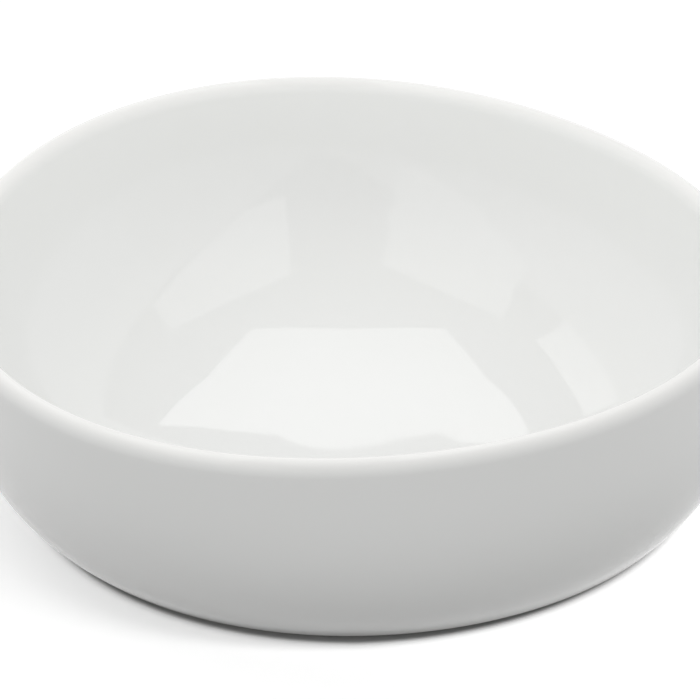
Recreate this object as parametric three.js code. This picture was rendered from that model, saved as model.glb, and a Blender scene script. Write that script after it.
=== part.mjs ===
// A white porcelain bowl whose round base rises to a softly triangular rim.
// Units are millimetres and +Z is up. The bowl stands on z = 0 with the tip of its rim towards +Y,
// and the origin lies on the table under the middle of the rim's outline.
//
// Every piece is revolved as a round form about one axis, and pressToTriangle() then moves each of
// its points in plan, the more the higher the point lies, as the potter's mould does.
import * as THREE from 'three';

// Outline of the rim and of the base, seen from above
const rimRadius = 80; // mean outside radius where the wall meets the lip
const rimTriangle = 0.026; // three-lobed part of the rim's outline, as a share of its radius
const rimLengthening = 0.015; // two-lobed part, which draws the tip out and flattens the sides
const baseTriangle = 0.009; // three-lobed part that is left where the wall starts
const pressGrowth = 0.8; // power by which the outline changes from base to rim
const baseShiftX = 2.7; // the base's middle stands this far to the side of the rim's
const baseShiftY = -0.9;

// Heights and wall, measured on the glazed outside
const bowlHeight = 46;
const wallThickness = 4; // at the lip, glaze included
const lipHeight = 3.1; // height over which the wall rounds over into the lip
const baseRadius = 68.6; // outside radius where the wall starts
const wallFoot = 1.7; // height at which the wall starts
const wallRound = 3.5; // power of the outer wall's curve: larger turns upright sooner
const edgeRadius = 2; // rounding between the wall and the underside
const floorThickness = 3; // of the porcelain at the middle
const innerRound = 2.95; // power of the inner wall's curve: larger makes a tighter corner

// Glaze
const glazeThickness = 0.35;
const glazeClearance = 0.3; // between the glaze and the porcelain under it
const glazeLineGap = 1.7; // bare strip from the standing ring out to the glaze line

// Standing ring and the recess inside it
const footInset = 4.1; // from the wall's start in to the ring
const footWidth = 3.2;
const footEdge = 0.5; // rounding of the ring's standing edge
const recessMargin = 0.7; // bare strip from the ring in to the recess
const recessDepth = 1.2; // of the porcelain underside, above the ring's seat

// Steps
const aroundSteps = 60;
const wallSteps = 8;
const wallSpacing = 1.35; // power that sets the rings closer where the wall curves most
const lipSteps = 6;
const innerSteps = 12;
const innerSpacing = 1.4; // the same for the inner wall and floor
const edgeSteps = 2;
const recessSteps = 3;

// Sizes that follow from those above
const lipFoot = bowlHeight - lipHeight;
const lipCentreRadius = rimRadius - wallThickness / 2;
const innerRadius = rimRadius - wallThickness;
const wallLean = Math.atan(((rimRadius - baseRadius) * wallRound) / (lipFoot - wallFoot));
const edgeCentreRadius = baseRadius - edgeRadius * Math.cos(wallLean);
const edgeCentreHeight = wallFoot + edgeRadius * Math.sin(wallLean);
const underside = edgeCentreHeight - edgeRadius;
const bodyDepth = glazeThickness + glazeClearance; // of the porcelain under the glazed surface
const seatHeight = underside + bodyDepth; // where the standing ring meets the porcelain
const footOuterRadius = baseRadius - footInset;
const footInnerRadius = footOuterRadius - footWidth;
const glazeLineRadius = footOuterRadius + glazeLineGap;
const recessFlat = footInnerRadius - recessMargin - recessDepth; // radius of its flat ceiling
const recessTop = seatHeight + recessDepth;
const floorTop = recessTop + floorThickness + bodyDepth;

// How far a height has come from the base's outline to the rim's, from 0 to 1
function pressed(height) {
  const rise = (height - wallFoot) / (lipFoot - wallFoot);
  return Math.pow(THREE.MathUtils.clamp(rise, 0, 1), pressGrowth);
}

// Turns a lathe's form upright and presses it: at an angle t from the tip a radius r becomes
// r (1 + triangle cos 3t + lengthening cos 2t), about a middle that moves from base to rim.
function pressToTriangle(geometry) {
  geometry.rotateX(Math.PI / 2);
  const points = geometry.getAttribute('position');
  for (let i = 0; i < points.count; i += 1) {
    const x = points.getX(i);
    const y = points.getY(i);
    const share = pressed(points.getZ(i));
    const angle = Math.atan2(x, y);
    const triangle = THREE.MathUtils.lerp(baseTriangle, rimTriangle, share);
    const factor = 1 + triangle * Math.cos(3 * angle) + share * rimLengthening * Math.cos(2 * angle);
    points.setX(i, x * factor + (1 - share) * baseShiftX);
    points.setY(i, y * factor + (1 - share) * baseShiftY);
  }
  geometry.computeVertexNormals();
  return geometry;
}

// Points of an ellipse's arc in the section, where x is the radius and y the height
function arc(centreX, centreY, radiusX, radiusY, from, to, steps) {
  return Array.from({ length: steps + 1 }, (_, i) => {
    const angle = from + ((to - from) * i) / steps;
    return new THREE.Vector2(centreX + radiusX * Math.cos(angle), centreY + radiusY * Math.sin(angle));
  });
}

// The outer wall: upright at the lip, leaning out from the base by the power wallRound
function outerWall() {
  return Array.from({ length: wallSteps + 1 }, (_, i) => {
    const rise = Math.pow(i / wallSteps, wallSpacing);
    const reach = 1 - Math.pow(1 - rise, wallRound);
    const radius = THREE.MathUtils.lerp(baseRadius, rimRadius, reach);
    return new THREE.Vector2(radius, THREE.MathUtils.lerp(wallFoot, lipFoot, rise));
  });
}

// The inner wall and floor: a quarter of a superellipse from the lip down to the middle
function innerWall() {
  const depth = lipFoot - floorTop;
  return Array.from({ length: innerSteps + 1 }, (_, i) => {
    const down = Math.pow(i / innerSteps, innerSpacing);
    const up = Math.pow(1 - i / innerSteps, innerSpacing);
    const angle = (Math.PI / 2) * (down / (down + up));
    const radius = i === innerSteps ? 0 : innerRadius * Math.pow(Math.cos(angle), 2 / innerRound);
    return new THREE.Vector2(radius, lipFoot - depth * Math.pow(Math.sin(angle), 2 / innerRound));
  });
}

// The glazed surface's whole section, from the glaze line under the base to the floor's middle
function glazedSection() {
  return [
    new THREE.Vector2(glazeLineRadius, underside),
    ...arc(edgeCentreRadius, edgeCentreHeight, edgeRadius, edgeRadius, -Math.PI / 2, -wallLean, edgeSteps),
    ...outerWall().slice(1),
    ...arc(lipCentreRadius, lipFoot, wallThickness / 2, lipHeight, 0, Math.PI, lipSteps).slice(1),
    ...innerWall().slice(1),
  ];
}

// The recess of the porcelain underside, from the middle out to the seat of the standing ring
function recessSection() {
  return [
    new THREE.Vector2(0, recessTop),
    ...arc(recessFlat, seatHeight, recessDepth, recessDepth, Math.PI / 2, 0, recessSteps),
  ];
}

// A section moved to its left by a depth, each side parallel to the one it came from.
// An end on the axis stays on it.
function inset(section, depth) {
  const sides = section.slice(1).map((point, i) => point.clone().sub(section[i]).normalize());
  return section.map((point, i) => {
    const before = sides[Math.max(i - 1, 0)];
    const after = sides[Math.min(i, sides.length - 1)];
    const run = before.clone().add(after).normalize();
    const reach = depth / run.dot(after);
    if (point.x === 0) return new THREE.Vector2(0, point.y + Math.sign(run.x) * depth);
    return new THREE.Vector2(point.x - run.y * reach, point.y + run.x * reach);
  });
}

function revolve(section) {
  return pressToTriangle(new THREE.LatheGeometry(section, aroundSteps));
}

// The porcelain: floor, wall and lip in one, with the flat seat of the ring and the recess below
function bowlBody() {
  return revolve([...recessSection(), ...inset(glazedSection(), bodyDepth)]);
}

// One coat of glaze over the outside, the lip and the inside, open at the glaze line underneath
function glazeCoat() {
  const outside = glazedSection();
  return revolve([...inset(outside, glazeThickness).reverse(), ...outside]);
}

// The bare ring that the bowl stands on, flat below and above
function footRing() {
  return revolve([
    new THREE.Vector2(footInnerRadius, seatHeight),
    ...arc(footInnerRadius + footEdge, footEdge, footEdge, footEdge, Math.PI, 1.5 * Math.PI, edgeSteps),
    ...arc(footOuterRadius - footEdge, footEdge, footEdge, footEdge, -Math.PI / 2, 0, edgeSteps),
    new THREE.Vector2(footOuterRadius, seatHeight),
    new THREE.Vector2(footInnerRadius, seatHeight),
  ]);
}

// The glaze of the recess: a disc under its flat, rounded up at the edge
function baseGlaze() {
  const top = recessTop - glazeClearance;
  const edge = recessFlat - glazeThickness;
  return revolve([
    new THREE.Vector2(0, top - glazeThickness),
    ...arc(edge, top, glazeThickness, glazeThickness, -Math.PI / 2, 0, edgeSteps),
    new THREE.Vector2(0, top),
  ]);
}

const porcelain = new THREE.MeshStandardMaterial({ color: '#e9e7e1', roughness: 0.7, metalness: 0 });
const barePorcelain = new THREE.MeshStandardMaterial({ color: '#dedad0', roughness: 0.85, metalness: 0 });
const whiteGlaze = new THREE.MeshStandardMaterial({ color: '#eeeeec', roughness: 0.15, metalness: 0 });
const baseGlazeFinish = new THREE.MeshStandardMaterial({ color: '#ebebe8', roughness: 0.2, metalness: 0 });

function piece(name, geometry, material) {
  const mesh = new THREE.Mesh(geometry, material);
  mesh.name = name;
  return mesh;
}

const bowl = new THREE.Group();
bowl.add(piece('bowl_body', bowlBody(), porcelain));
bowl.add(piece('glaze_coat', glazeCoat(), whiteGlaze));
bowl.add(piece('foot_ring', footRing(), barePorcelain));
bowl.add(piece('base_glaze', baseGlaze(), baseGlazeFinish));

// The outline's middle goes over the origin
const middle = new THREE.Box3().setFromObject(bowl).getCenter(new THREE.Vector3());
bowl.children.forEach((mesh) => mesh.geometry.translate(-middle.x, -middle.y, 0));

export default bowl;
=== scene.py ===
"""A softly triangular white porcelain bowl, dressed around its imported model.

The bowl stands on z = 0 with the tip of its rim towards +Y, and all lengths are in metres. Each
piece is a section of radius and height that is turned about the bowl's axis and then pressed in
plan, so that a nearly round base rises to a softly triangular rim.
"""

import math
from typing import NamedTuple

import bpy
import numpy as np
from bpy.props import FloatProperty, FloatVectorProperty, IntProperty, PointerProperty
from mathutils import Matrix, Vector


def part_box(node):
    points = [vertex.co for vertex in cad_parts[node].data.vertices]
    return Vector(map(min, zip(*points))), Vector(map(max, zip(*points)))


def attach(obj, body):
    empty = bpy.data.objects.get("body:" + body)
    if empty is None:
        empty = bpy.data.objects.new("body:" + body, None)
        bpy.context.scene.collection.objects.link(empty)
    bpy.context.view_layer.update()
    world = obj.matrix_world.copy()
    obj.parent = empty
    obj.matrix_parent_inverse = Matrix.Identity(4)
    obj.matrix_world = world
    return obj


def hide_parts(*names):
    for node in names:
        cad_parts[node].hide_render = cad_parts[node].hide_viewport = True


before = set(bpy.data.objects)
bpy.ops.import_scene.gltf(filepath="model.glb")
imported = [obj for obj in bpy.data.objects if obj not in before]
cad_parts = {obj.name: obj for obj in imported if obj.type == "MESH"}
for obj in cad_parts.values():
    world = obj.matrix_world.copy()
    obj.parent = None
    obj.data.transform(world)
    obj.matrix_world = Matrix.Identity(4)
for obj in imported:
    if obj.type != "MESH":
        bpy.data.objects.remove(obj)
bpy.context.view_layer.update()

bl_info = {
    "name": "Triangular Porcelain Bowl",
    "version": (1, 0, 0),
    "blender": (4, 5, 0),
    "location": "View3D > Sidebar > Bowl",
    "description": "Builds a white glazed bowl and the plain studio that it stands in",
    "category": "Add Mesh",
}

BODY = "root"
BOWL_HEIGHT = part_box("glaze_coat")[1].z
PICTURE_WIDTH = 700  # pixels
SENSOR_WIDTH = 36.0  # millimetres, as Blender's cameras give it
MICROMETRE = 1e-6

# Sections
WALL_SPACING = 1.35  # power that sets the rings closer where the outer wall curves most
INNER_SPACING = 1.4  # the same for the inner wall and floor, towards both ends
ROUNDING_STEPS = 8  # of the small roundings under the base
FILLET_STEPS = 6
RECESS_RINGS = 24  # across the flat of the recess

# Glaze coat
CONTACT_GAP = 0.00002  # between the glaze and the porcelain that it is fused to
BURIED_STRIDE = 3  # the side that lies on the porcelain keeps one ring in so many
LINE_FADE = 0.0015  # over which the glaze line's wander dies out
LINE_WAVES = ((5, 1.0, 0.6), (9, 0.7, 2.1), (17, 0.5, 4.0))  # waves around, weight and phase
LIP_THIN = 0.0016  # how far below the top of the lip the glaze runs thin,
LINE_THIN = 0.0005  # and above its line
POOL_RISE, POOL_DEPTH = 0.004, 0.005  # where it gathers above the floor, and over what height
POOL_RADIUS, POOL_WIDTH = 0.058, 0.016  # and at what distance from the middle, over what width
RECESS_POOL = 0.004  # width of the pooled edge in the recess

# Painted shade and light on the white floor by the bowl. Directions are as the camera sees them.
LINE_LEAN = 0.005  # how far the dark line under the wall draws in, per metre to the right,
LINE_SPREAD = 0.025  # and per metre to either side
LINE_SHADE = 0.35  # colour of the floor in it, painted shade, where 1 is white
LINE_EDGE = (-0.0009, 0.0008)  # where it ends, from dark to white
LIFT_EDGE = (-0.001, 0.0024)  # where the lift, painted light, starts, from none to full
SHADOW_START = 0.002  # reach of the painted soft shadow beside the base,
SHADOW_GROWTH = 2.7  # and what it gains by the square of the way to the left
SHADOW_EDGE = (0.5, 1.7)  # where it ends, as shares of its reach
SHADOW_SIDE = (-0.02, 0.02)  # where it ends towards the right
SHADOW_DEPTH = 0.5  # share of the lift that it takes away
TAKEN_LIGHT = 0.63  # light that the bowl takes from the floor beside it, given back as painted light,
TAKEN_FALL = 111.0  # and how fast that falls off, per metre
PLAIN_FLOOR = (0.3, 0.8)  # distance over which the floor turns to plain white
# Painted light: the floor's colour to light on its way to the bowl is lighter near the base, which
# brightens the bowl's lower wall.
NEAR_BOUNCE, FAR_BOUNCE = 0.4, 0.25  # colour of the floor to light on its way to the bowl
BOUNCE_REACH = 0.015  # distance over which the one becomes the other


class BowlForm(bpy.types.PropertyGroup):
    """Outline and section of the glazed surface."""

    rim_radius: FloatProperty(
        name="Rim radius", description="Mean outside radius where the wall meets the lip",
        default=0.080, unit="LENGTH")
    rim_triangle: FloatProperty(
        name="Rim triangle", description="Three-lobed part of the rim, as a share of its radius",
        default=0.026)
    rim_lengthening: FloatProperty(
        name="Rim lengthening", description="Two-lobed part of the rim, which draws its tip out",
        default=0.015)
    base_triangle: FloatProperty(
        name="Base triangle", description="Three-lobed part that is left where the wall starts",
        default=0.009)
    press_growth: FloatProperty(
        name="Press growth", description="Power by which the outline changes from base to rim",
        default=0.8)
    base_shift: FloatVectorProperty(
        name="Base shift", description="Where the base's middle stands from the rim's",
        default=(0.0027, -0.0009), size=2, unit="LENGTH")
    wall_thickness: FloatProperty(
        name="Wall thickness", description="At the lip, glaze included", default=0.004,
        unit="LENGTH")
    lip_height: FloatProperty(
        name="Lip height", description="Height over which the wall rounds over", default=0.0031,
        unit="LENGTH")
    base_radius: FloatProperty(
        name="Base radius", description="Outside radius where the wall starts", default=0.0686,
        unit="LENGTH")
    wall_foot: FloatProperty(
        name="Wall foot", description="Height at which the wall starts", default=0.0017,
        unit="LENGTH")
    wall_round: FloatProperty(
        name="Wall round", description="Power of the outer wall's curve", default=3.5)
    edge_radius: FloatProperty(
        name="Edge radius", description="Rounding between the wall and the underside",
        default=0.002, unit="LENGTH")
    floor_thickness: FloatProperty(
        name="Floor thickness", description="Of the porcelain at the middle", default=0.003,
        unit="LENGTH")
    inner_round: FloatProperty(
        name="Inner round", description="Power of the inner wall's curve", default=2.95)
    around: IntProperty(
        name="Steps around", description="Points around each ring of the meshes", default=240)


class GlazeFinish(bpy.types.PropertyGroup):
    """The glaze coat and what it looks like."""

    thickness: FloatProperty(
        name="Thickness", description="Of the glaze coat", default=0.00035, unit="LENGTH")
    clearance: FloatProperty(
        name="Clearance", description="Between the glaze and the porcelain in the solid model",
        default=0.0003, unit="LENGTH")
    line_gap: FloatProperty(
        name="Glaze line gap", description="Bare strip from the ring out to the glaze line",
        default=0.0017, unit="LENGTH")
    line_wander: FloatProperty(
        name="Glaze line wander", description="How far the wiped edge of the glaze wanders",
        default=0.00018, unit="LENGTH")
    colour: FloatVectorProperty(
        name="Colour", description="Of the glazed porcelain", default=(0.858, 0.863, 0.851), size=3,
        subtype="COLOR", min=0.0, max=1.0)
    thin_colour: FloatVectorProperty(
        name="Thin colour", description="Where the glaze runs thin, on the lip and at its line",
        default=(0.868, 0.865, 0.848), size=3, subtype="COLOR", min=0.0, max=1.0)
    pooled_colour: FloatVectorProperty(
        name="Pooled colour", description="Where the glaze gathers, in the corners",
        default=(0.851, 0.856, 0.84), size=3, subtype="COLOR", min=0.0, max=1.0)
    roughness: FloatProperty(name="Roughness", description="Of the gloss glaze", default=0.02)
    roughness_spread: FloatProperty(
        name="Roughness spread", description="What the clouds add to the roughness", default=0.015)
    refraction: FloatProperty(
        name="Refraction", description="Index of refraction of the glaze", default=1.5)
    cloud_scale: FloatProperty(
        name="Cloud scale", description="Cells per metre of the faint clouds of tone", default=38.0)
    cloud_tint: FloatProperty(
        name="Cloud tint", description="Share of the pooled colour in the clouds", default=0.35)
    wave_scale: FloatProperty(
        name="Wave scale", description="Cells per metre of the slow waves", default=55.0)
    wave_height: FloatProperty(
        name="Wave height", description="In micrometres", default=9.0)
    peel_scale: FloatProperty(
        name="Peel scale", description="Cells per metre of the orange peel", default=900.0)
    peel_height: FloatProperty(
        name="Peel height", description="In micrometres", default=0.35)


class StandingRing(bpy.types.PropertyGroup):
    """The bare ring that the bowl stands on, and the recess inside it."""

    inset: FloatProperty(
        name="Inset", description="From the wall's start in to the ring", default=0.0041,
        unit="LENGTH")
    width: FloatProperty(name="Width", description="Of the ring", default=0.0032, unit="LENGTH")
    edge: FloatProperty(
        name="Edge", description="Rounding of the standing edge", default=0.0005, unit="LENGTH")
    fillet: FloatProperty(
        name="Fillet", description="Where the ring runs into the base", default=0.0003,
        unit="LENGTH")
    recess_margin: FloatProperty(
        name="Recess margin", description="Bare strip from the ring in to the recess",
        default=0.0007, unit="LENGTH")
    recess_depth: FloatProperty(
        name="Recess depth", description="Of the underside inside the ring", default=0.0012,
        unit="LENGTH")
    colour: FloatVectorProperty(
        name="Bare colour", description="Of the unglazed porcelain", default=(0.74, 0.71, 0.65),
        size=3, subtype="COLOR", min=0.0, max=1.0)
    worn_colour: FloatVectorProperty(
        name="Worn colour", description="Of the ground face, greyed by use",
        default=(0.55, 0.53, 0.49), size=3, subtype="COLOR", min=0.0, max=1.0)
    worn_share: FloatProperty(
        name="Worn share", description="Of the worn colour where the wear is full", default=0.7)
    wear_height: FloatProperty(
        name="Wear height", description="How far up the wear reaches", default=0.0006,
        unit="LENGTH")
    stain_scale: FloatProperty(
        name="Stain scale", description="Cells per metre of the wear's patches", default=160.0)
    roughness: FloatProperty(name="Roughness", description="Of the bare porcelain", default=0.85)
    polish: FloatProperty(
        name="Polish", description="What the wear takes from the roughness", default=0.25)
    grain_scale: FloatProperty(
        name="Grain scale", description="Cells per metre of the fine grain", default=4200.0)
    grain_height: FloatProperty(
        name="Grain height", description="In micrometres", default=16.0)
    grain_roughness: FloatProperty(
        name="Grain roughness", description="Spread of the roughness by the grain", default=0.1)
    mark_scale: FloatProperty(
        name="Mark scale", description="Of the faint turning marks", default=900.0)
    mark_height: FloatProperty(
        name="Mark height", description="In micrometres", default=4.0)


class Studio(bpy.types.PropertyGroup):
    """Camera and plain surroundings."""

    camera_azimuth: FloatProperty(
        name="Camera azimuth", description="How far the view turns from +Y towards +X",
        default=math.radians(18.318), subtype="ANGLE")
    camera_elevation: FloatProperty(
        name="Camera elevation", description="How far the view looks down",
        default=math.radians(29.548), subtype="ANGLE")
    camera_distance: FloatProperty(
        name="Camera distance", description="From the camera to the point it looks at",
        default=0.7630, unit="LENGTH")
    focal_length: FloatProperty(
        name="Focal length", description="In pixels of the picture", default=3820.8)
    aim_sideways: FloatProperty(
        name="Aim sideways", description="How far right of the axis the camera looks",
        default=0.00172, unit="LENGTH")
    aim_height: FloatProperty(
        name="Aim height", description="Height that the camera looks at", default=0.02312,
        unit="LENGTH")
    floor_size: FloatProperty(
        name="Floor size", description="Side of the floor", default=30.0, unit="LENGTH")
    room_light: FloatProperty(
        name="Room light", description="Light from the surroundings, where 1 is white",
        default=0.86)
    softbox_size: FloatProperty(
        name="Softbox size", description="Side of each square lamp", default=0.8, unit="LENGTH")
    softbox_distance: FloatProperty(
        name="Softbox distance", description="From each lamp to the bowl", default=1.5,
        unit="LENGTH")


class Sizes:
    """Sizes that follow from the properties."""

    def __init__(self, scene):
        form, glaze, ring = scene.bowl_form, scene.glaze_finish, scene.standing_ring
        self.form = form
        self.glaze = glaze
        self.ring = ring
        self.lip_foot = BOWL_HEIGHT - form.lip_height
        self.lip_centre = form.rim_radius - form.wall_thickness / 2
        self.inner_radius = form.rim_radius - form.wall_thickness
        rise = (self.lip_foot - form.wall_foot) / form.wall_round
        self.wall_lean = math.atan((form.rim_radius - form.base_radius) / rise)
        self.edge_centre = (
            form.base_radius - form.edge_radius * math.cos(self.wall_lean),
            form.wall_foot + form.edge_radius * math.sin(self.wall_lean),
        )
        self.underside = self.edge_centre[1] - form.edge_radius
        self.body_depth = glaze.thickness + glaze.clearance
        self.seat = self.underside + self.body_depth
        self.ring_outside = form.base_radius - ring.inset
        self.ring_inside = self.ring_outside - ring.width
        self.glaze_line = self.ring_outside + glaze.line_gap
        self.recess_flat = self.ring_inside - ring.recess_margin - ring.recess_depth
        self.recess_top = self.seat + ring.recess_depth
        self.floor_top = self.recess_top + form.floor_thickness + self.body_depth
        self.middle = np.zeros(2)
        section = glazed_section(self)
        outline = self.press(section[:, 0], section[:, 1])[..., :2].reshape(-1, 2)
        self.middle = (outline.min(axis=0) + outline.max(axis=0)) / 2

    def press(self, radius, height):
        """Points of a turned section, pressed in plan.

        At the angle t from the tip, a radius r at the height z becomes
        r (1 + a cos 3t + b k cos 2t), where k = ((z - foot) / (lip - foot)) ^ growth, kept between
        0 and 1, a runs from the base's to the rim's triangle with k, and b is the rim's lengthening.
        The middle moves by (1 - k) times the base's shift. Radius may also be a grid whose second
        axis runs around the bowl."""
        form = self.form
        turn = np.arange(form.around) * (2 * math.pi / form.around)
        radius = np.broadcast_to(np.reshape(radius, (len(height), -1)), (len(height), form.around))
        rise = (height - form.wall_foot) / (self.lip_foot - form.wall_foot)
        share = (np.clip(rise, 0, 1) ** form.press_growth)[:, None]
        triangle = form.base_triangle + (form.rim_triangle - form.base_triangle) * share
        factor = 1 + triangle * np.cos(3 * turn) + share * form.rim_lengthening * np.cos(2 * turn)
        across = radius * factor * np.sin(turn) + (1 - share) * form.base_shift[0] - self.middle[0]
        along = radius * factor * np.cos(turn) + (1 - share) * form.base_shift[1] - self.middle[1]
        return np.stack([across, along, np.broadcast_to(height[:, None], across.shape)], axis=-1)


def arc(centre, radii, start, end, steps):
    """Points of an ellipse's arc in the section: centre + radii (cos a, sin a)."""
    angle = np.linspace(start, end, steps + 1)
    unit = np.stack([np.cos(angle), np.sin(angle)], axis=1)
    return np.array(centre) + np.array(radii) * unit


def glazed_section(sizes, wall_steps=48, lip_steps=28, inner_steps=84, edge_steps=10):
    """The glazed surface's section, from the glaze line under the base to the floor's middle.

    The outer wall's radius goes from base to rim as 1 - (1 - h) ^ round over its height h, the lip
    is half an ellipse, and the inside is a quarter of a superellipse, x ^ n + y ^ n = 1."""
    form = sizes.form
    rise = np.linspace(0, 1, wall_steps + 1) ** WALL_SPACING
    reach = 1 - (1 - rise) ** form.wall_round
    wall = np.stack([
        form.base_radius + (form.rim_radius - form.base_radius) * reach,
        form.wall_foot + (sizes.lip_foot - form.wall_foot) * rise,
    ], axis=1)
    lip = arc((sizes.lip_centre, sizes.lip_foot), (form.wall_thickness / 2, form.lip_height),
              0, math.pi, lip_steps)
    step = np.linspace(0, 1, inner_steps + 1)
    down = step ** INNER_SPACING
    angle = math.pi / 2 * down / (down + (1 - step) ** INNER_SPACING)
    depth = sizes.lip_foot - sizes.floor_top
    inside = np.stack([
        sizes.inner_radius * np.clip(np.cos(angle), 0, 1) ** (2 / form.inner_round),
        sizes.lip_foot - depth * np.sin(angle) ** (2 / form.inner_round),
    ], axis=1)
    inside[-1, 0] = 0
    edge = arc(sizes.edge_centre, (form.edge_radius, form.edge_radius),
               -math.pi / 2, -sizes.wall_lean, edge_steps)
    start = [[sizes.glaze_line, sizes.underside]]
    return np.concatenate([start, edge, wall[1:], lip[1:], inside[1:]])


def inset(section, depth):
    """A section moved to its left by a depth, each side parallel to the one it came from."""
    sides = np.diff(section, axis=0)
    sides = sides / np.linalg.norm(sides, axis=1, keepdims=True)
    before = np.concatenate([sides[:1], sides])
    after = np.concatenate([sides, sides[-1:]])
    run = before + after
    run = run / np.linalg.norm(run, axis=1, keepdims=True)
    reach = depth / np.sum(run * after, axis=1)
    moved = section + np.stack([-run[:, 1], run[:, 0]], axis=1) * reach[:, None]
    moved[section[:, 0] == 0, 0] = 0
    return moved


def turned_mesh(name, points, closed):
    """Mesh of a grid of points, whose first axis runs along a section and second around the bowl.

    A closed section joins its last ring to its first. An open one starts and ends on the axis,
    where each end ring becomes one point."""
    rings, around = points.shape[:2]
    here = np.arange(around)
    after = np.roll(here, -1)
    if closed:
        ring = np.arange(rings)
        following = np.roll(ring, -1)
        vertices = points.reshape(-1, 3)
        low, high = (np.repeat(a[:, None], around, axis=1) * around for a in (ring, following))
        faces = np.stack([low + here, high + here, high + after, low + after], axis=-1)
        polygons = faces.reshape(-1, 4).tolist()
    else:
        first, last = points[0, 0], points[-1, 0]
        vertices = np.concatenate([points[1:-1].reshape(-1, 3), [first, last]])
        inner = rings - 2
        start, end = inner * around, inner * around + 1
        low = np.repeat(np.arange(inner - 1)[:, None], around, axis=1) * around
        high = low + around
        faces = np.stack([low + here, high + here, high + after, low + after], axis=-1)
        top = (inner - 1) * around
        fans = np.concatenate([
            np.stack([np.full(around, start), here, after], axis=-1),
            np.stack([np.full(around, end), top + after, top + here], axis=-1),
        ])
        polygons = faces.reshape(-1, 4).tolist() + fans.tolist()
    mesh = bpy.data.meshes.new(name)
    mesh.from_pydata(vertices.tolist(), [], polygons)
    mesh.update()
    mesh.shade_smooth()
    return mesh


def add_piece(name, mesh, material, node):
    """A finished piece: it rides on the bowl's body and stands for its CAD node."""
    piece = bpy.data.objects.new(name, mesh)
    bpy.context.scene.collection.objects.link(piece)
    mesh.materials.append(material)
    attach(piece, BODY)
    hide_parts(node)
    return piece


class Wire:
    """A shader socket that Python arithmetic works on. Each operator adds a Math node."""

    def __init__(self, graph, socket):
        self.graph = graph
        self.socket = socket

    def __add__(self, other):
        return self.graph.math("ADD", self, other)

    def __radd__(self, other):
        return self.graph.math("ADD", other, self)

    def __sub__(self, other):
        return self.graph.math("SUBTRACT", self, other)

    def __rsub__(self, other):
        return self.graph.math("SUBTRACT", other, self)

    def __mul__(self, other):
        return self.graph.math("MULTIPLY", self, other)

    def __rmul__(self, other):
        return self.graph.math("MULTIPLY", other, self)

    def __truediv__(self, other):
        return self.graph.math("DIVIDE", self, other)

    def __rtruediv__(self, other):
        return self.graph.math("DIVIDE", other, self)


class Graph:
    """A node tree that is filled from Python."""

    def __init__(self, owner):
        owner.use_nodes = True
        self.tree = owner.node_tree
        self.tree.nodes.clear()

    def add(self, kind, settings, values, output=0):
        """A node of a type, with its settings, then the values or links of its sockets."""
        node = self.tree.nodes.new(kind)
        for key, value in settings.items():
            setattr(node, key, value)
        for key, value in values.items():
            if isinstance(value, Wire):
                self.tree.links.new(value.socket, node.inputs[key])
            else:
                node.inputs[key].default_value = value
        return Wire(self, node.outputs[output]) if node.outputs else node

    def math(self, operation, first, second):
        """One Math node."""
        return self.add("ShaderNodeMath", {"operation": operation}, {0: first, 1: second})

    def noise(self, place, scale, detail):
        """Soft noise from 0 to 1, with its scale in cells per metre."""
        values = {"Vector": place, "Scale": scale, "Detail": detail}
        return self.add("ShaderNodeTexNoise", {}, values, "Fac")

    def ramp(self, value, low, high):
        """0 below one value, 1 above the other, and smooth between them."""
        settings = {"interpolation_type": "SMOOTHSTEP"}
        values = {"Value": value, "From Min": low, "From Max": high}
        return self.add("ShaderNodeMapRange", settings, values)

    def dot(self, place, way):
        """How far a place lies along a direction."""
        settings = {"operation": "DOT_PRODUCT"}
        return self.add("ShaderNodeVectorMath", settings, {0: place, 1: way}, "Value")

    def mix(self, share, first, second):
        """A colour between two, where a share of 1 is the second."""
        first, second = ((*c, 1.0) if not isinstance(c, Wire) else c for c in (first, second))
        settings = {"data_type": "RGBA"}
        return self.add("ShaderNodeMix", settings, {0: share, 6: first, 7: second}, 2)

    def seen(self):
        """1 for what the camera sees, itself or mirrored, and 0 for light on its way to the bowl."""
        path = self.add("ShaderNodeLightPath", {}, {}).socket.node
        names = ("Is Camera Ray", "Is Glossy Ray", "Is Transmission Ray")
        rays = [Wire(self, path.outputs[name]) for name in names]
        return self.math("MINIMUM", rays[0] + rays[1] + rays[2], 1.0)


def finish_surface(name, build):
    """A material whose surface comes from build(graph, place)."""
    material = bpy.data.materials.new(name)
    graph = Graph(material)
    place = graph.add("ShaderNodeTexCoord", {}, {}, "Object")
    surface = build(graph, place)
    graph.add("ShaderNodeOutputMaterial", {}, {"Surface": surface})
    return material


def glaze_material(name, finish):
    """Gloss glaze: faint clouds of tone, thin and pooled places, slow waves and an orange peel."""
    def build(graph, place):
        clouds = graph.noise(place, finish.cloud_scale, 3.0)
        thin = graph.add("ShaderNodeAttribute", {"attribute_name": "thin"}, {}, "Fac")
        pooled = graph.add("ShaderNodeAttribute", {"attribute_name": "pooled"}, {}, "Fac")
        cloudy = graph.ramp(clouds, 0.35, 0.65) * finish.cloud_tint
        body = graph.mix(cloudy, finish.colour, finish.pooled_colour)
        tinted = graph.mix(pooled, body, finish.pooled_colour)
        colour = graph.mix(thin, tinted, finish.thin_colour)
        waves = graph.noise(place, finish.wave_scale, 1.0) * finish.wave_height
        peel = graph.noise(place, finish.peel_scale, 2.0) * finish.peel_height
        bump = graph.add("ShaderNodeBump", {}, {
            "Strength": 1.0, "Distance": MICROMETRE, "Height": waves + peel})
        return graph.add("ShaderNodeBsdfPrincipled", {}, {
            "Base Color": colour,
            "Roughness": finish.roughness + clouds * finish.roughness_spread,
            "IOR": finish.refraction,
            "Normal": bump,
        })
    return finish_surface(name, build)


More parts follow.
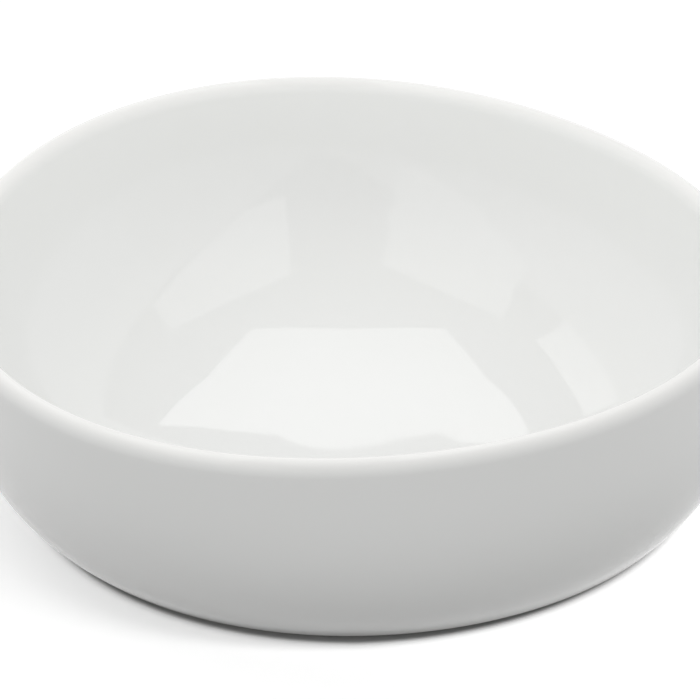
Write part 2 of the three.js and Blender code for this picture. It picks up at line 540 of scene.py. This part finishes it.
def bare_material(name, ring):
    """Bare porcelain: matt and finely grained, with faint turning marks and worn where it stands."""
    def build(graph, place):
        parts = graph.add("ShaderNodeSeparateXYZ", {}, {"Vector": place}).socket.node
        height = Wire(graph, parts.outputs["Z"])
        grain = graph.noise(place, ring.grain_scale, 3.0)
        stains = graph.noise(place, ring.stain_scale, 4.0)
        wear = (1 - graph.ramp(height, 0.0, ring.wear_height)) * graph.ramp(stains, 0.38, 0.62)
        colour = graph.mix(wear * ring.worn_share, ring.colour, ring.worn_colour)
        marks = graph.add("ShaderNodeTexWave", {
            "wave_type": "RINGS", "rings_direction": "Z", "wave_profile": "SIN"}, {
            "Vector": place, "Scale": ring.mark_scale, "Distortion": 1.5, "Detail": 2.0}, "Fac")
        relief = grain * ring.grain_height + marks * ring.mark_height
        bump = graph.add("ShaderNodeBump", {}, {
            "Strength": 1.0, "Distance": MICROMETRE, "Height": relief})
        spread = (grain - 0.5) * ring.grain_roughness
        return graph.add("ShaderNodeBsdfPrincipled", {}, {
            "Base Color": colour,
            "Roughness": ring.roughness - wear * ring.polish + spread,
            "Normal": bump,
        })
    return finish_surface(name, build)


def mark_attribute(mesh, name, values):
    """Stores one number for each vertex."""
    attribute = mesh.attributes.new(name, "FLOAT", "POINT")
    attribute.data.foreach_set("value", np.ascontiguousarray(values, dtype=np.float32))


def bell(value, middle, width):
    """A soft bump from 0 to 1 about a middle: exp(-((v - middle) / width) ^ 2)."""
    return np.exp(-(((value - middle) / width) ** 2))


class BOWL_OT_glaze_skin(bpy.types.Operator):
    """Make the glaze that covers the outside, the lip and the inside"""

    bl_idname = "bowl.glaze_skin"
    bl_label = "Glaze coat"

    def execute(self, context):
        sizes = Sizes(context.scene)
        outside = glazed_section(sizes)
        depth = sizes.body_depth - CONTACT_GAP
        last = len(outside) - 1
        kept = np.unique(np.append(np.arange(0, last + 1, BURIED_STRIDE), last))
        buried = inset(outside, depth)[kept][::-1]
        bead = arc((sizes.glaze_line, sizes.underside + depth / 2), (depth / 2, depth / 2),
                   math.pi / 2, 1.5 * math.pi, ROUNDING_STEPS)[1:-1]
        section = np.concatenate([buried, bead, outside])
        turn = np.arange(sizes.form.around) * (2 * math.pi / sizes.form.around)
        waves, weights, phases = np.array(LINE_WAVES).T[..., None]
        wander = (weights * np.cos(waves * turn + phases)).sum(axis=0) / weights.sum()
        near_line = np.clip(1 - (section[:, 0] - sizes.glaze_line) / LINE_FADE, 0, 1)
        near_line *= section[:, 1] < sizes.underside + sizes.body_depth
        radius = section[:, :1] + near_line[:, None] * sizes.glaze.line_wander * wander
        points = sizes.press(radius, section[:, 1])
        mesh = turned_mesh("glaze_skin", points, closed=False)
        heights = np.append(points[1:-1, :, 2].ravel(), [points[0, 0, 2], points[-1, 0, 2]])
        plan = np.linalg.norm(points[..., :2], axis=-1)
        radii = np.append(plan[1:-1].ravel(), [0.0, 0.0])
        thin = bell(heights, BOWL_HEIGHT, LIP_THIN) + bell(heights, sizes.underside, LINE_THIN)
        low = bell(heights, sizes.floor_top + POOL_RISE, POOL_DEPTH)
        mark_attribute(mesh, "thin", np.clip(thin, 0, 1))
        mark_attribute(mesh, "pooled", low * bell(radii, POOL_RADIUS, POOL_WIDTH))
        material = glaze_material("white_glaze", sizes.glaze)
        add_piece("glaze_skin", mesh, material, "glaze_coat")
        return {"FINISHED"}


class BOWL_OT_porcelain_body(bpy.types.Operator):
    """Make the porcelain under the glaze, with its bare strip and the recess below"""

    bl_idname = "bowl.porcelain_body"
    bl_label = "Porcelain body"

    def execute(self, context):
        sizes = Sizes(context.scene)
        depth = sizes.ring.recess_depth
        recess = np.concatenate([
            [[0, sizes.recess_top]],
            arc((sizes.recess_flat, sizes.seat), (depth, depth), math.pi / 2, 0, ROUNDING_STEPS),
        ])
        glazed = glazed_section(sizes, wall_steps=28, lip_steps=14, inner_steps=42, edge_steps=6)
        section = np.concatenate([recess, inset(glazed, sizes.body_depth)])
        points = sizes.press(section[:, 0], section[:, 1])
        mesh = turned_mesh("porcelain_body", points, closed=False)
        material = bare_material("porcelain", sizes.ring)
        add_piece("porcelain_body", mesh, material, "bowl_body")
        return {"FINISHED"}


class BOWL_OT_standing_ring(bpy.types.Operator):
    """Make the bare ring that the bowl stands on"""

    bl_idname = "bowl.standing_ring"
    bl_label = "Standing ring"

    def execute(self, context):
        sizes = Sizes(context.scene)
        edge, fillet = sizes.ring.edge, sizes.ring.fillet
        inside, outside, seat = sizes.ring_inside, sizes.ring_outside, sizes.seat
        section = np.concatenate([
            arc((inside - fillet, seat - fillet), (fillet, fillet), math.pi / 2, 0, FILLET_STEPS),
            arc((inside + edge, edge), (edge, edge), math.pi, 1.5 * math.pi, ROUNDING_STEPS),
            arc((outside - edge, edge), (edge, edge), -math.pi / 2, 0, ROUNDING_STEPS),
            arc((outside + fillet, seat - fillet), (fillet, fillet), math.pi, math.pi / 2,
                FILLET_STEPS),
        ])
        mesh = turned_mesh("standing_ring", sizes.press(section[:, 0], section[:, 1]), closed=True)
        material = bare_material("bare_porcelain", sizes.ring)
        add_piece("standing_ring", mesh, material, "foot_ring")
        return {"FINISHED"}


class BOWL_OT_recess_glaze(bpy.types.Operator):
    """Make the glaze in the recess inside the ring"""

    bl_idname = "bowl.recess_glaze"
    bl_label = "Recess glaze"

    def execute(self, context):
        sizes = Sizes(context.scene)
        depth = sizes.glaze.thickness
        top = sizes.recess_top - CONTACT_GAP
        low = sizes.recess_top - sizes.glaze.clearance - depth
        flat = np.linspace(0, sizes.recess_flat - depth, RECESS_RINGS)
        edge = arc((flat[-1], top), (depth, top - low), -math.pi / 2, 0, ROUNDING_STEPS)
        section = np.concatenate([
            np.stack([flat, np.full(RECESS_RINGS, low)], axis=1),
            edge[1:],
            [[0, top]],
        ])
        points = sizes.press(section[:, 0], section[:, 1])
        mesh = turned_mesh("recess_glaze", points, closed=False)
        plan = np.linalg.norm(points[1:-1, :, :2], axis=-1).ravel()
        radii = np.append(plan, [0.0, 0.0])
        mark_attribute(mesh, "thin", np.zeros(len(radii)))
        mark_attribute(mesh, "pooled", bell(radii, sizes.recess_flat, RECESS_POOL))
        material = glaze_material("base_glaze", sizes.glaze)
        add_piece("recess_glaze", mesh, material, "base_glaze")
        return {"FINISHED"}


class Softbox(NamedTuple):
    """A large square lamp that lights the bowl and that its glaze doesn't mirror.

    Its turn is from straight behind the bowl, as the camera sees it, towards the camera's right."""

    name: str
    turn: float
    elevation: float
    radiance: float


SOFTBOXES = (
    Softbox("overhead_softbox", 180.0, 75.0, 0.45),
    Softbox("front_right_softbox", 120.0, 20.0, 0.6),
    Softbox("front_left_softbox", 240.0, 20.0, 0.85),
    Softbox("back_right_softbox", 60.0, 50.0, 0.56),
    Softbox("back_left_softbox", 300.0, 50.0, 0.95),
)


class Panel(NamedTuple):
    """A flat lit panel overhead, which shows as a patch of light in the glaze.

    A corner is how far it lies to the camera's right and ahead of it, per metre of height. The fade
    is the share of its light that a panel loses towards its far end."""

    name: str
    height: float
    radiance: float
    fade: float
    corners: tuple


FADE_SPAN = (0.3, 0.9)  # how far ahead a fade starts and is full, per metre of height
PANELS = (
    Panel("long_panel", 2.6, 0.65, 0.0, ((-0.42, -4.0), (0.42, -4.0), (0.42, 1.9), (-0.42, 1.9))),
    Panel("right_panel", 2.5, 1.4, 0.16, (
        (0.26, -0.63), (0.14, 0.03), (0.09, 0.50), (0.17, 0.74), (0.26, 0.98),
        (0.39, 0.75), (0.40, 0.36), (0.40, -0.31))),
    Panel("left_panel", 2.5, 1.35, 0.16, (
        (-1.41, -3.31), (-0.22, -0.31), (-0.08, 0.36), (-0.22, 0.81), (-0.35, 0.51),
        (-0.59, 0.18), (-0.76, -0.22), (-1.0, -0.66), (-1.4, -1.56), (-2.0, -3.6))),
    Panel("far_panel", 2.5, 1.6, 0.0, (
        (0.10, 1.02), (0.0, 1.06), (-0.10, 0.98), (-0.08, 1.36), (-0.12, 1.82), (-0.05, 1.81),
        (-0.015, 1.762), (-0.003, 1.72), (0.003, 1.703), (0.03, 1.706), (0.10, 1.706), (0.19, 1.755),
        (0.11, 1.38))),
    Panel("side_panel", 2.5, 1.4, 0.0, (
        (-0.25, 0.97), (-0.43, 0.76), (-0.43, 1.09), (-0.48, 1.73), (-0.29, 1.75), (-0.25, 1.3))),
)


def direction(turn, elevation):
    """Unit vector at a turn from +Y towards +X and an elevation, in radians."""
    level = math.cos(elevation)
    return Vector((math.sin(turn) * level, math.cos(turn) * level, math.sin(elevation)))


def floor_material(name, form, centre, lit_side):
    """A white floor with painted shade and light by the bowl; further off it fades to plain white.

    Two places stay darker: a line along the outline r (1 + a cos 3t) of the base, under the edge of
    the wall, which is real shade deepened by painted shade from a darker floor colour, and a soft
    shadow beside it, which reaches out by the square of the way from the lit side and is partly cast
    by the lamps and partly painted shadow, where the lift is held back. The rest is lifted by
    painted light, an emission that gives back what the bowl takes of the room's light. To light on
    its way to the bowl the floor is darker, most of all further off; its lighter colour near the
    base is painted light that brightens the bowl's lower wall."""
    def build(graph, place):
        around = graph.add("ShaderNodeVectorMath", {"operation": "SUBTRACT"}, {0: place, 1: centre})
        distance = graph.add("ShaderNodeVectorMath", {"operation": "LENGTH"}, {0: around}, "Value")
        side = graph.dot(around, lit_side)
        along = graph.add("ShaderNodeSeparateXYZ", {}, {"Vector": around}, "Y")
        cosine = along / distance
        lobes = 4 * cosine * cosine * cosine - 3 * cosine
        beyond = distance - form.base_radius * (1 + form.base_triangle * lobes)
        spread = graph.math("ABSOLUTE", side, 0.0) * LINE_SPREAD
        from_line = beyond + side * LINE_LEAN + spread
        # Painted shadow: a soft shadow to the left of the base, drawn by formula where the lift is
        # held back.
        left = graph.math("MINIMUM", side, 0.0)
        reach = left * left * SHADOW_GROWTH + SHADOW_START
        near_base = 1 - graph.ramp(beyond / reach, *SHADOW_EDGE)
        shadow = near_base * (1 - graph.ramp(side, *SHADOW_SIDE))
        # Painted light: the lift is an emission that gives back the light the bowl takes from the
        # floor beside it.
        taken = TAKEN_LIGHT / (1 + graph.math("MAXIMUM", beyond, 0.0) * TAKEN_FALL)
        lift = taken * graph.ramp(from_line, *LIFT_EDGE) * (1 - shadow * SHADOW_DEPTH)
        # Painted shade: the floor's colour darkens in the line under the wall's edge, on top of the
        # real shade there.
        shade = LINE_SHADE + graph.ramp(from_line, *LINE_EDGE) * (1 - LINE_SHADE)
        lit = graph.add("ShaderNodeBsdfDiffuse", {}, {"Color": shade})
        lifted = graph.add("ShaderNodeEmission", {}, {"Color": lift, "Strength": 1.0})
        plain = graph.add("ShaderNodeEmission", {}, {"Strength": 1.0})
        near = graph.add("ShaderNodeAddShader", {}, {0: lit, 1: lifted})
        far_off = graph.ramp(distance, *PLAIN_FLOOR)
        shown = graph.add("ShaderNodeMixShader", {}, {0: far_off, 1: near, 2: plain})
        # Painted light: the floor throws more light onto the bowl's lower wall near the base.
        away = graph.ramp(beyond, 0.0, BOUNCE_REACH)
        painted_bounce_colour = NEAR_BOUNCE - away * (NEAR_BOUNCE - FAR_BOUNCE)
        bounce = graph.add("ShaderNodeBsdfDiffuse", {}, {"Color": painted_bounce_colour})
        return graph.add("ShaderNodeMixShader", {}, {0: graph.seen(), 1: bounce, 2: shown})
    return finish_surface(name, build)


def panel_material(panel, ahead):
    """Light of the panel's radiance, less its fade where it lies further ahead."""
    def build(graph, place):
        kept = 1 - graph.ramp(graph.dot(place, ahead) / panel.height, *FADE_SPAN) * panel.fade
        return graph.add("ShaderNodeEmission", {}, {"Color": kept, "Strength": panel.radiance})
    return finish_surface(panel.name, build)


def add_stage_sheet(name, corners, material):
    """A flat sheet that belongs to the studio."""
    mesh = bpy.data.meshes.new(name)
    mesh.from_pydata(corners, [], [tuple(range(len(corners)))])
    mesh.materials.append(material)
    sheet = bpy.data.objects.new(name, mesh)
    bpy.context.scene.collection.objects.link(sheet)
    return sheet


class BOWL_OT_studio(bpy.types.Operator):
    """Make the floor, the room's light, the softboxes, the panels and the camera"""

    bl_idname = "bowl.studio"
    bl_label = "Studio"

    def execute(self, context):
        studio = context.scene.studio
        self.add_floor(studio, Sizes(context.scene))
        self.add_room_light(context, studio)
        for box in SOFTBOXES:
            self.add_softbox(context, studio, box)
        for panel in PANELS:
            self.add_panel(studio, panel)
        self.add_camera(context, studio)
        context.scene.view_settings.view_transform = "Standard"
        return {"FINISHED"}

    def add_floor(self, studio, sizes):
        half = studio.floor_size / 2
        corners = [(-half, -half, 0), (half, -half, 0), (half, half, 0), (-half, half, 0)]
        centre = (*(np.array(sizes.form.base_shift) - sizes.middle), 0.0)
        right = direction(studio.camera_azimuth + math.pi / 2, 0)
        material = floor_material("white_floor", sizes.form, centre, right)
        add_stage_sheet("table_floor", corners, material)

    def add_room_light(self, context, studio):
        world = bpy.data.worlds.new("studio_room")
        context.scene.world = world
        graph = Graph(world)
        seen = graph.seen()
        strength = seen + (1 - seen) * studio.room_light
        background = graph.add("ShaderNodeBackground", {}, {
            "Color": (1.0, 1.0, 1.0, 1.0), "Strength": strength})
        graph.add("ShaderNodeOutputWorld", {}, {"Surface": background})

    def add_softbox(self, context, studio, box):
        lamp = bpy.data.lights.new(box.name, "AREA")
        lamp.size = studio.softbox_size
        lamp.energy = box.radiance * lamp.size ** 2 * math.pi
        away = direction(studio.camera_azimuth + math.radians(box.turn), math.radians(box.elevation))
        turned = away.to_track_quat("Z", "Y").to_matrix().to_4x4()
        lit = bpy.data.objects.new(box.name, lamp)
        lit.matrix_world = Matrix.Translation(away * studio.softbox_distance) @ turned
        lit.visible_glossy = False
        context.scene.collection.objects.link(lit)

    def add_panel(self, studio, panel):
        right = direction(studio.camera_azimuth + math.pi / 2, 0)
        ahead = direction(studio.camera_azimuth, 0)
        above = Vector((0, 0, 1))
        corners = [(right * x + ahead * y + above) * panel.height for x, y in panel.corners]
        sheet = add_stage_sheet(panel.name, corners, panel_material(panel, ahead))
        sheet.visible_camera = False
        sheet.visible_diffuse = False
        sheet.visible_shadow = False

    def add_camera(self, context, studio):
        forward = direction(studio.camera_azimuth, -studio.camera_elevation)
        right = forward.cross(Vector((0, 0, 1))).normalized()
        up = right.cross(forward)
        aim = right * studio.aim_sideways + Vector((0, 0, studio.aim_height))
        lens = bpy.data.cameras.new("camera")
        lens.sensor_width = SENSOR_WIDTH
        lens.lens = SENSOR_WIDTH * studio.focal_length / PICTURE_WIDTH
        camera = bpy.data.objects.new("camera", lens)
        turned = Matrix((right, up, -forward)).transposed().to_4x4()
        camera.matrix_world = Matrix.Translation(aim - forward * studio.camera_distance) @ turned
        context.scene.collection.objects.link(camera)
        context.scene.camera = camera


class BOWL_PT_panel(bpy.types.Panel):
    """Sizes, finishes and the makers of the bowl's pieces"""

    bl_idname = "BOWL_PT_panel"
    bl_label = "Triangular Bowl"
    bl_space_type = "VIEW_3D"
    bl_region_type = "UI"
    bl_category = "Bowl"

    def draw(self, context):
        for group in (context.scene.bowl_form, context.scene.glaze_finish,
                      context.scene.standing_ring, context.scene.studio):
            box = self.layout.box()
            for key in group.__annotations__:
                box.prop(group, key)
        for maker in MAKERS:
            self.layout.operator(maker.bl_idname)


MAKERS = (
    BOWL_OT_glaze_skin,
    BOWL_OT_porcelain_body,
    BOWL_OT_standing_ring,
    BOWL_OT_recess_glaze,
    BOWL_OT_studio,
)
CLASSES = (BowlForm, GlazeFinish, StandingRing, Studio, *MAKERS, BOWL_PT_panel)


def register():
    for each in CLASSES:
        bpy.utils.register_class(each)
    bpy.types.Scene.bowl_form = PointerProperty(type=BowlForm)
    bpy.types.Scene.glaze_finish = PointerProperty(type=GlazeFinish)
    bpy.types.Scene.standing_ring = PointerProperty(type=StandingRing)
    bpy.types.Scene.studio = PointerProperty(type=Studio)


def unregister():
    del bpy.types.Scene.studio
    del bpy.types.Scene.standing_ring
    del bpy.types.Scene.glaze_finish
    del bpy.types.Scene.bowl_form
    for each in reversed(CLASSES):
        bpy.utils.unregister_class(each)


def main():
    register()
    bpy.ops.bowl.glaze_skin()
    bpy.ops.bowl.porcelain_body()
    bpy.ops.bowl.standing_ring()
    bpy.ops.bowl.recess_glaze()
    bpy.ops.bowl.studio()


if __name__ == "__main__":
    main()
